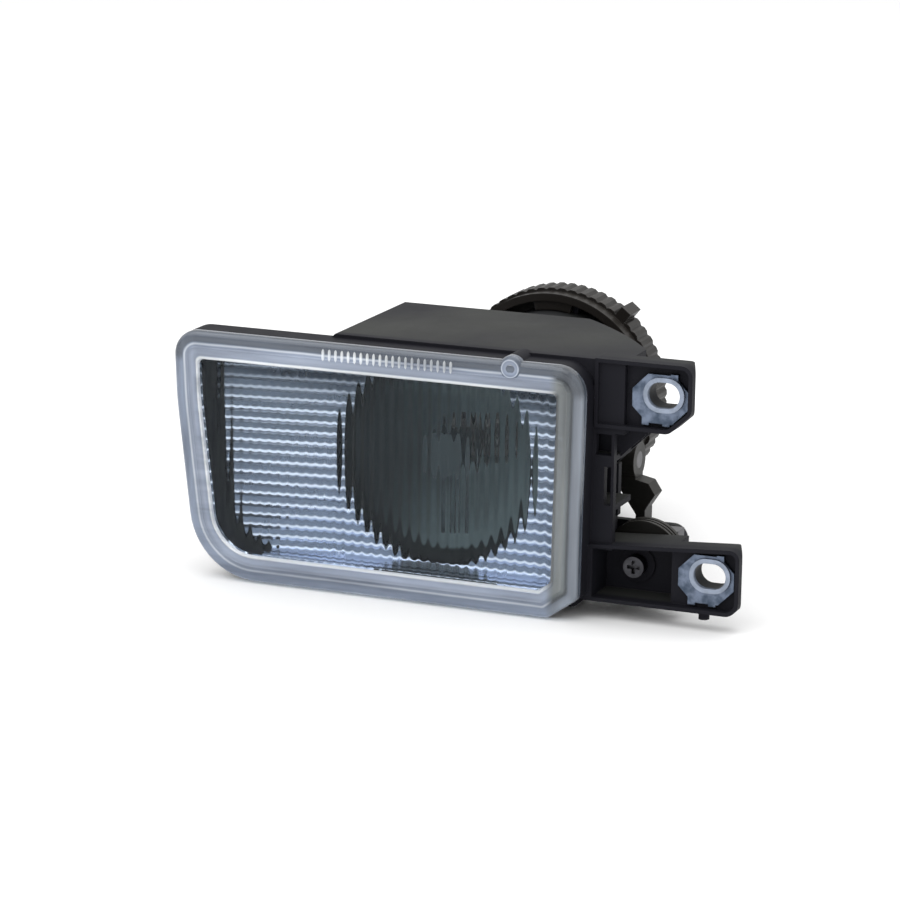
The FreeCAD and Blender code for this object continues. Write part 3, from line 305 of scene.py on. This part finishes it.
black_plastic = plastic("black_moulding", (0.009, 0.009, 0.0135), (0.042, 0.044, 0.040), 0.62, 2600,
                        shine=0.1, dust_and_top_light_depths=(-0.0065, -0.0035))
cap_plastic = plastic("cap_moulding", (0.008, 0.0065, 0.0055), (0.030, 0.027, 0.024), 0.42, 2400)
wheel_plastic = plastic("wheel_moulding", (0.010, 0.0095, 0.0085), (0.040, 0.038, 0.034), 0.45, 2400)
grey_plastic = plastic("grey_moulding", (0.10, 0.10, 0.105), (0.17, 0.17, 0.175), 0.5, 2400)
seal_rubber = plastic("seal_rubber", (0.012, 0.012, 0.012), (0.03, 0.03, 0.03), 0.8, 1800)
red_lead = plastic("red_insulation", (0.30, 0.02, 0.015), (0.42, 0.05, 0.03), 0.4, 1500)
black_lead = plastic("black_insulation", (0.015, 0.015, 0.015), (0.04, 0.04, 0.04), 0.4, 1500)
zinc = zinc_plate()
blackened = metal("blackened_steel", (0.012, 0.012, 0.014), (0.10, 0.10, 0.11), 0.34, (1, 1, 1))
steel = metal("plated_steel", (0.34, 0.34, 0.35), (0.60, 0.60, 0.60), 0.3, (1, 0.2, 1))
tinned = metal("tinned_brass", (0.52, 0.48, 0.36), (0.78, 0.74, 0.60), 0.3, (1, 0.2, 1))
tungsten = metal("tungsten", (0.20, 0.20, 0.20), (0.36, 0.35, 0.34), 0.35, (1, 1, 1))
shield = metal("satin_shield", (0.028, 0.038, 0.043), (0.055, 0.07, 0.078), 0.55, (1, 0.3, 1))
# bulb_metal is a darker copy of the plated steel: painted shade on the bulb base inside the lamp
bulb_metal = metal("bulb_metal", (0.05, 0.05, 0.05), (0.12, 0.12, 0.12), 0.45, (1, 0.2, 1))
mirror = mirror_coat()
pane = clear_glass("fluted_glass", (0.95, 0.98, 0.98), (0.22, 0.25, 0.28))
quartz = clear_glass("bulb_glass", (0.97, 0.98, 0.98), (0.2, 0.2, 0.2))
border = border_glass()
trim = trim_coat()

FINISHES = {
    "housing": black_plastic, "lens_seal": seal_rubber, "slot_bush_upper": zinc, "slot_bush_lower": zinc,
    "vent_cap": seal_rubber, "connector_pins": tinned, "lead_supply": red_lead, "lead_earth": black_lead,
    "pivot_bush_left": grey_plastic, "pivot_bush_right": grey_plastic, "pivot_o_ring": seal_rubber,
    "screw_bush": black_plastic, "reflector": mirror, "pivot_shaft": blackened,
    "aiming_lever": wheel_plastic, "lever_screw": blackened, "bulb_glass": quartz,
    "bulb_filament": tungsten, "bulb_base": bulb_metal, "bulb_blades": tinned, "bulb_plug": cap_plastic,
    "bulb_shield": shield, "bulb_clip_screw": steel, "bulb_clip": steel, "aiming_screw": blackened,
    "aiming_wheel": wheel_plastic, "screw_retainer": steel, "aiming_nut": grey_plastic,
    "rear_cap": cap_plastic, "cap_seal": seal_rubber, "glass_lens": pane, "trim_plate": trim,
}
for name, material in FINISHES.items():
    for slot in nodes[name].material_slots:
        slot.material = material


# ---- surfaces ---------------------------------------------------------------------------------------
def meshed(name, points, faces, material, corner, marks):
    """An object from arrays of points (lamp millimetres) and faces, smooth except at edges sharper than
    corner degrees. marks are per-point numbers by name."""
    mesh = bpy.data.meshes.new(name)
    mesh.from_pydata(metres(points).tolist(), [], faces.tolist())
    mesh.shade_smooth()
    mesh.set_sharp_from_angle(angle=math.radians(corner))
    for mark, values in marks.items():
        layer = mesh.attributes.new(mark, "FLOAT", "POINT")
        layer.data.foreach_set("value", np.asarray(values, np.float32).ravel())
    mesh.materials.append(material)
    made = bpy.data.objects.new(name, mesh)
    bpy.context.scene.collection.objects.link(made)
    return made


def closed_piece(name, points, faces, material, body, cad, corner, marks):
    """A closed piece of four-sided faces on a body, turned so that it encloses a positive volume: the sum
    of a . (b x c) + a . (c x d) over its faces. cad names the nodes that it stands in for."""
    a, b, c, d = (points[faces[:, k]] for k in range(4))
    volume = (a * np.cross(b, c)).sum() + (a * np.cross(c, d)).sum()
    if volume < 0:
        faces = faces[:, ::-1]
    made = meshed(name, points, faces, material, corner, marks)
    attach(made, body)
    if cad:
        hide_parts(*cad)


def lattice(rows, columns, wrap_rows=False, wrap_columns=False):
    """Four-sided faces of a grid of points numbered row by row. A wrapped side joins its last to its
    first."""
    i = np.arange(rows if wrap_rows else rows - 1)[:, None]
    j = np.arange(columns if wrap_columns else columns - 1)[None, :]
    i2, j2 = (i + 1) % rows, (j + 1) % columns
    corners = (i * columns + j, i2 * columns + j, i2 * columns + j2, i * columns + j2)
    return np.stack(np.broadcast_arrays(*corners), -1).reshape(-1, 4)


GLASS_BOTTOM = -46.2
# Outline of the glass, clockwise from the top left: x, z and corner radius
GLASS = ((-93.0, 43.4, 9.0), (62.4, 43.4, 10.0), (61.2, -38.2, 3.0), (50.2, GLASS_BOTTOM, 4.0),
         (-84.4, GLASS_BOTTOM, 26.0), (-92.0, 18.4, 120.0))
LEAST_RADIUS = 2.0                          # of a corner, when the outline is moved inwards
BORDER_WIDTH = 10.0                         # of the pressed border, from the outline to the window


def loop(offset, arc=14, run=24):
    """The glass outline moved out by offset: at each corner an arc of its radius plus offset, and a
    straight run to the next. An arc's direction at share s of its turn t is
    (na sin((1 - s) t) + nb sin(s t)) / sin t, where na and nb are the outward normals of the sides before
    and after it. Every offset gives the same number of (x, z) points, in the same order."""
    corners = np.array(GLASS)
    before, after = np.roll(corners, 1, 0), np.roll(corners, -1, 0)
    a = corners[:, :2] - before[:, :2]
    b = after[:, :2] - corners[:, :2]
    a /= np.linalg.norm(a, axis=1)[:, None]
    b /= np.linalg.norm(b, axis=1)[:, None]
    outward = lambda d: np.stack([-d[:, 1], d[:, 0]], -1)
    na, nb = outward(a), outward(b)
    middle = (na + nb) / (1 + (na * nb).sum(1))[:, None]
    place = corners[:, :2] + middle * offset
    radius = np.maximum(corners[:, 2] + offset, LEAST_RADIUS)
    turn = np.arccos(np.clip((a * b).sum(1), -1, 1))
    centre = place - middle * radius[:, None]
    share = np.linspace(0, 1, arc)[None, :, None]
    angle = turn[:, None, None]
    spread = np.sin((1 - share) * angle) * na[:, None] + np.sin(share * angle) * nb[:, None]
    arcs = centre[:, None] + spread / np.sin(angle) * radius[:, None, None]
    step = np.linspace(0, 1, run + 2)[None, 1:-1, None]
    ends = np.roll(arcs[:, 0], -1, 0)
    runs = arcs[:, -1][:, None] * (1 - step) + ends[:, None] * step
    return np.concatenate([arcs, runs], 1).reshape(-1, 2)


def ring_of(section):
    """A closed section of (offset, y) points carried round the glass outline: points and faces."""
    rings = np.stack([np.insert(loop(offset), 1, y, axis=1) for offset, y in section])
    return rings.reshape(-1, 3), lattice(len(section), rings.shape[1], True, True)


def chains(offset):
    """Upper and lower height of the moved outline as functions of x, with its two ends."""
    points = loop(offset, 40, 60)
    left, right = points[:, 0].argmin(), points[:, 0].argmax()
    around = np.roll(points, -left, 0)
    split = (right - left) % len(points)
    upper, lower = around[:split + 1], np.vstack([around[split:], around[:1]])[::-1]
    top = lambda x: np.interp(x, upper[:, 0], upper[:, 1])
    bottom = lambda x: np.interp(x, lower[:, 0], lower[:, 1])
    return top, bottom, around[0, 0], around[split, 0]


# ---- glass ------------------------------------------------------------------------------------------
FLUTE, FLUTE_DEPTH, FLUTE_START = 3.6, 0.24, -84.0      # pitch, depth and where one flute starts
PANE_FRONT, PANE_BACK, PANE_GAP = 0.75, 3.0, 0.03       # its faces before the flutes; gap to the border


def glass_window():
    """The fluted pane. In plan its back is a row of rounded flutes: y = back + depth (1 - cos 2 pi u) / 2,
    with u from 0 to 1 across each flute, and its front is flat. Each column runs from the lower to the
    upper edge."""
    columns_per_flute = 12
    top, bottom, left, right = chains(-BORDER_WIDTH - PANE_GAP)
    x = np.linspace(left + 0.05, right - 0.02, int((right - left) / FLUTE * columns_per_flute))
    back = PANE_BACK + FLUTE_DEPTH * (1 - np.cos((x - FLUTE_START) / FLUTE * 2 * math.pi)) / 2
    front = np.full_like(x, PANE_FRONT)
    t, b = top(x), bottom(x)
    section = np.stack([np.stack([x, front, b], -1), np.stack([x, front, t], -1),
                        np.stack([x, back, t], -1), np.stack([x, back, b], -1)], 1)
    faces = lattice(len(x), 4, False, True)
    last = (len(x) - 1) * 4
    faces = np.vstack([faces, [[3, 2, 1, 0]], [[last, last + 1, last + 2, last + 3]]])
    closed_piece("glass_window", section.reshape(-1, 3), faces, pane, "lamp", ("glass_lens",),
                 30, {})


def glass_border():
    """Pressed border and skirt of the glass: a flat band with two low beads, a rounded front edge, a wall
    that goes into the housing's groove, and the step down to the window. across is 0 at the outline and
    1 at the window."""
    edge_radius, edge_centre = 2.2, 2.35
    section = [(-10.0, 0.75), (-9.85, 0.1), (-9.6, -0.25), (-9.2, -0.28), (-8.9, -0.05), (-8.7, 0.15),
               (-6.3, 0.15), (-6.1, 0.0), (-5.8, -0.12), (-5.5, 0.0), (-5.3, 0.15), (-2.6, 0.15)]
    bend = np.linspace(0, math.pi / 2, 7)
    section += [(-edge_radius + edge_radius * math.sin(a), edge_centre - edge_radius * math.cos(a))
                for a in bend]
    front = len(section)
    section += [(0.0, 3.6), (-2.5, 3.6), (-2.5, 10.0), (-5.5, 10.0), (-5.5, 4.6), (-5.9, 3.5), (-6.6, 3.1),
                (-9.0, 3.0), (-10.0, 3.0)]
    points, faces = ring_of(section)
    offsets = np.array([offset for offset, y in section])
    offsets[front:] = -3.0
    across = np.repeat(-offsets / BORDER_WIDTH, len(points) // len(section))
    closed_piece("glass_border", points, faces, border, "lamp", (), 40, {"across": across})


def glass_ribs():
    """A row of short upright ribs on the top band. Each is a bar whose oval section, half_width by
    half_depth, shrinks by sqrt(1 - a^4) along it, with a from -1 to 1 over its length."""
    count, pitch, first = 21, 2.4, -34.4
    half_width, half_depth, half_length = 0.55, 0.5, 2.2
    middle_y, middle_z = 0.1, 39.3
    stations, around = 9, 12
    along = np.linspace(-1, 1, stations)
    turn = np.linspace(0, 2 * math.pi, around, endpoint=False)
    a, t = np.meshgrid(along, turn, indexing="ij")
    swell = np.sqrt(np.clip(1 - a ** 4, 0.002, 1))
    bar = np.stack([half_width * swell * np.cos(t), middle_y + half_depth * swell * np.sin(t),
                    middle_z + half_length * a], -1)
    centres = first + pitch * np.arange(count)
    bars = bar[None] + np.stack([centres, centres * 0, centres * 0], -1)[:, None, None]
    one = lattice(stations, around, False, True)
    caps = [np.arange(around)[::-1], np.arange(around) + (stations - 1) * around]
    lids = [[cap[0], cap[k], cap[k + 1], cap[k + 2]] for cap in caps for k in range(1, around - 2, 2)]
    one = np.vstack([one, lids])
    faces = (one[None] + (np.arange(count) * stations * around)[:, None, None]).reshape(-1, 4)
    # across 0.9 gives the ribs the border's painted highlight band
    across = np.full(count * stations * around, 0.9)
    closed_piece("glass_ribs", bars.reshape(-1, 3), faces, border, "lamp", (), 50,
                 {"across": across})


def spun(profile, count, centre):
    """A closed (radius, y) profile turned about the line through centre parallel to Y: the points
    centre + (r cos t, y, r sin t), and their faces."""
    profile = np.asarray(profile, float)
    angle = np.linspace(0, 2 * math.pi, count, endpoint=False)
    r, y = profile[:, 0][:, None], profile[:, 1][:, None]
    grid = np.stack([r * np.cos(angle), y + 0 * angle, r * np.sin(angle)], -1) + np.asarray(centre, float)
    return grid.reshape(-1, 3), lattice(len(profile), count, True, True)


def glass_lug():
    """Locating lug on the top edge: a short round boss with a domed front and a shallow dimple."""
    profile = [(0.02, 0.5), (1.2, 0.3), (2.2, -0.1), (3.2, -0.25), (3.9, 0.3), (4.3, 1.2), (4.4, 2.4),
               (4.4, 3.6), (0.02, 3.6)]
    around = 48
    points, faces = spun(profile, around, (35.4, 0, 40.9))
    # across picks the border's bands ring by ring; 0.9 puts the painted highlight on the middle of the
    # lug's front
    across = np.repeat([0.9, 0.9, 0.6, 0.4, 0.3, 0.3, 0.3, 0.3, 0.3], around)
    closed_piece("glass_lug", points, faces, border, "lamp", (), 40, {"across": across})


glass_window()
glass_border()
glass_ribs()
glass_lug()


# ---- trim and mirror ---------------------------------------------------------------------------------
def trim_sheet(name, side):
    """Half of the stepped trim, on the side -1 or 1 of the axis: y = plan(x) - STEP_DEPTH ledge(u), where
    u goes from 0 to 1 up each step. The ledge slopes forward over the lowest third of a step and falls
    back over the rest. The inner edge follows the round hole, and a level shelf runs forward from the
    lowest row."""
    rows_per_step, columns = 12, 60
    lowest, highest, shelf_z = -36.9, 34.1, -37.2
    inset, left_gap = 9.2, 2.4
    z = np.linspace(lowest, highest, int((highest - lowest) / STEP * rows_per_step))
    outline = loop(-inset, 40, 60)
    half = outline[outline[:, 0] < -20] + (left_gap, 0) if side < 0 else outline[outline[:, 0] > 30]
    order = half[:, 1].argsort()
    edge = np.interp(z, half[order, 1], half[order, 0])
    hole = side * np.sqrt(np.clip(HOLE_R ** 2 - z * z, 0, None))
    hole[0] = 0.0
    share = np.linspace(0, 1, columns)[:, None]
    x = hole[None] * (1 - share) + edge[None] * share
    plan = np.interp(x, [-93.0, -40.0, 40.0, 62.4], [13.6, 22.2, 22.2, 17.6])
    phase = ((z - GLASS_BOTTOM) / STEP) % 1.0
    ledge = np.interp(phase, [0, 0.3, 0.42, 1.0], [0.0, 1.0, 0.9, 0.0])
    y = plan - STEP_DEPTH * ledge[None]
    # lit marks the painted highlight: the lower part of each step's face, and three lines on the shelf
    lit = np.broadcast_to(np.interp(phase, [0.0, 0.08, 0.44, 0.54], [0.0, 1.0, 1.0, 0.0]), x.shape)
    shelf_y = np.array([6.5, 9.0, 9.6, 10.2, 13.0, 13.6, 14.2])[None]
    shelf_lit = np.array([1.0, 0.0, 0.0, 0.9, 0.0, 0.0, 0.8])[None]
    shelf_x = np.broadcast_to(edge[:1] * share, (columns, shelf_y.size))
    shelf = np.stack([shelf_x, np.broadcast_to(shelf_y, shelf_x.shape),
                      np.full(shelf_x.shape, shelf_z)], -1)
    steps = np.stack([x, y, np.broadcast_to(z, x.shape)], -1)
    points = np.concatenate([shelf, steps], 1)
    lit = np.concatenate([np.broadcast_to(shelf_lit, shelf_x.shape), lit], 1)
    faces = lattice(*lit.shape)
    points = points.reshape(-1, 3)
    a, b, c = (points[faces[-1, k]] for k in (0, 1, 2))
    if np.cross(b - a, c - a)[1] > 0:
        faces = faces[:, ::-1]
    made = meshed(name, points, faces, trim, 40, {"ledge": lit})
    wall = made.modifiers.new("wall", "SOLIDIFY")
    wall.thickness, wall.offset = 0.0016, -1
    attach(made, "lamp")
    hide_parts("trim_plate")


def mirror_skin():
    """Smooth reflecting skin over the bowl: y = apex - r^2 / (4 focus), about a quarter of a millimetre
    thick."""
    apex, focus = 63.8, 9.4
    near, far = 0.08, 0.35                  # how far the skin's two faces stand off the bowl
    r = np.linspace(9.7, 37.4, 40)
    y = apex - r * r / (4 * focus)
    front = np.stack([r, y - far], -1)
    back = np.stack([r[::-1], y[::-1] - near], -1)
    points, faces = spun(np.vstack([front, back]), 128, (0, 0, 0))
    closed_piece("mirror_skin", points, faces, mirror, "reflector_unit", (), 50, {})


trim_sheet("trim_left", -1)
trim_sheet("trim_right", 1)
mirror_skin()


# ---- camera, light and floor -------------------------------------------------------------------------
def camera():
    """Looks from the front, a little to the arms' side and above, with a slight roll."""
    azimuth, height, roll = math.radians(22.0), math.radians(13.7), math.radians(0.7)
    distance = 1.2
    view = bpy.data.cameras.new("camera")
    view.lens, view.sensor_width = 139.2, 36.0
    view.clip_start, view.clip_end = 0.05, 60
    seen = bpy.data.objects.new("camera", view)
    bpy.context.scene.collection.objects.link(seen)
    target = Vector((-0.07325, -0.0200, -0.02394))
    back = Vector((math.sin(azimuth) * math.cos(height), -math.cos(azimuth) * math.cos(height),
                   math.sin(height)))
    seen.location = target + back * distance
    turn = (-back).to_track_quat("-Z", "Y").to_matrix() @ Matrix.Rotation(roll, 3, "Z")
    seen.rotation_euler = turn.to_euler()
    bpy.context.scene.camera = seen


def soft_light(name, place, aim, size, power):
    """A soft square light at place that points at aim."""
    light = bpy.data.lights.new(name, "AREA")
    light.shape, light.size, light.energy = "SQUARE", size, power
    hung = bpy.data.objects.new(name, light)
    hung.location = place
    hung.rotation_euler = (Vector(aim) - Vector(place)).to_track_quat("-Z", "Y").to_euler()
    bpy.context.scene.collection.objects.link(hung)


def floor():
    """A wide pale floor half a millimetre under the lowest point of the lamp."""
    low, half = cad_box[0].z - 0.0005, 8.0
    corners = [(-half, -half, low), (half, -half, low), (half, half, low), (-half, half, low)]
    mesh = bpy.data.meshes.new("floor")
    mesh.from_pydata(corners, [], [(0, 1, 2, 3)])
    paint = Finish("pale_floor")
    tone = paint.mix(paint.noise(3, 2), (0.93, 0.93, 0.93), (0.96, 0.96, 0.96))
    mesh.materials.append(paint.show(paint.surface(Base_Color=tone, Roughness=0.9, Specular_IOR_Level=0.1)))
    laid = bpy.data.objects.new("floor", mesh)
    bpy.context.scene.collection.objects.link(laid)


def sky():
    """Even white light from all round."""
    world = bpy.data.worlds.new("studio")
    world.use_nodes = True
    bpy.context.scene.world = world
    glow = world.node_tree.nodes["Background"]
    glow.inputs["Color"].default_value = (1.0, 1.0, 1.0, 1)
    glow.inputs["Strength"].default_value = 0.95


camera()
middle = (cad_box[0] + cad_box[1]) / 2
soft_light("key", middle + Vector((-0.5, -1.0, 1.3)), middle, 1.7, 11)
soft_light("top", middle + Vector((0.2, 0.4, 1.4)), middle, 1.6, 8)
floor()
sky()
bpy.context.scene.view_settings.view_transform = "Standard"
